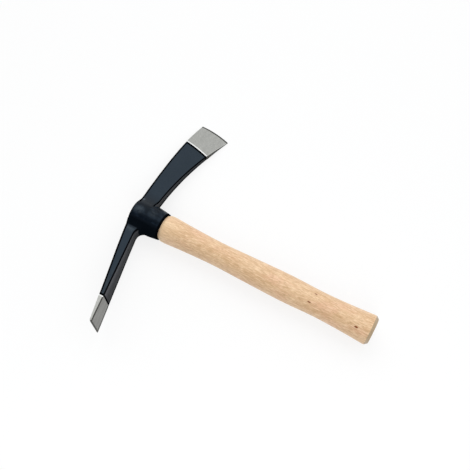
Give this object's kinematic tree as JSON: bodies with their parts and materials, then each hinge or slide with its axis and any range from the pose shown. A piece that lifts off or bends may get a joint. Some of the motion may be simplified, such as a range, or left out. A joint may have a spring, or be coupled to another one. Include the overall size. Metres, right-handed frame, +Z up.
{
  "type": "bricklayers hammer",
  "caption": "Mason's hammer with an axe arm and a cross-set adze arm forged around a round eye, wedged on a short turned beech handle.",
  "frame": {"origin": "under the middle of the tool's box, on the flat ground it lies on", "axes": "+X runs down the handle from the eye to the butt, +Z is up as the tool lies on its side at rest, +Y is the side of the axe arm"},
  "size_m": [0.3008, 0.2796, 0.0542],
  "materials": {
    "head_paint": "satin slate-blue paint on forged steel, bare ground steel at both cutting ends",
    "beech": "clear satin varnish on steamed beech",
    "wedge_wood": "sawn hardwood",
    "wedge_steel": "plain rolled steel"
  },
  "bodies": {
    "root": {"head": "head_paint", "handle": "beech", "wooden_wedge": "wedge_wood", "steel_wedge_upper": "wedge_steel", "steel_wedge_lower": "wedge_steel"}
  },
  "joints": []
}
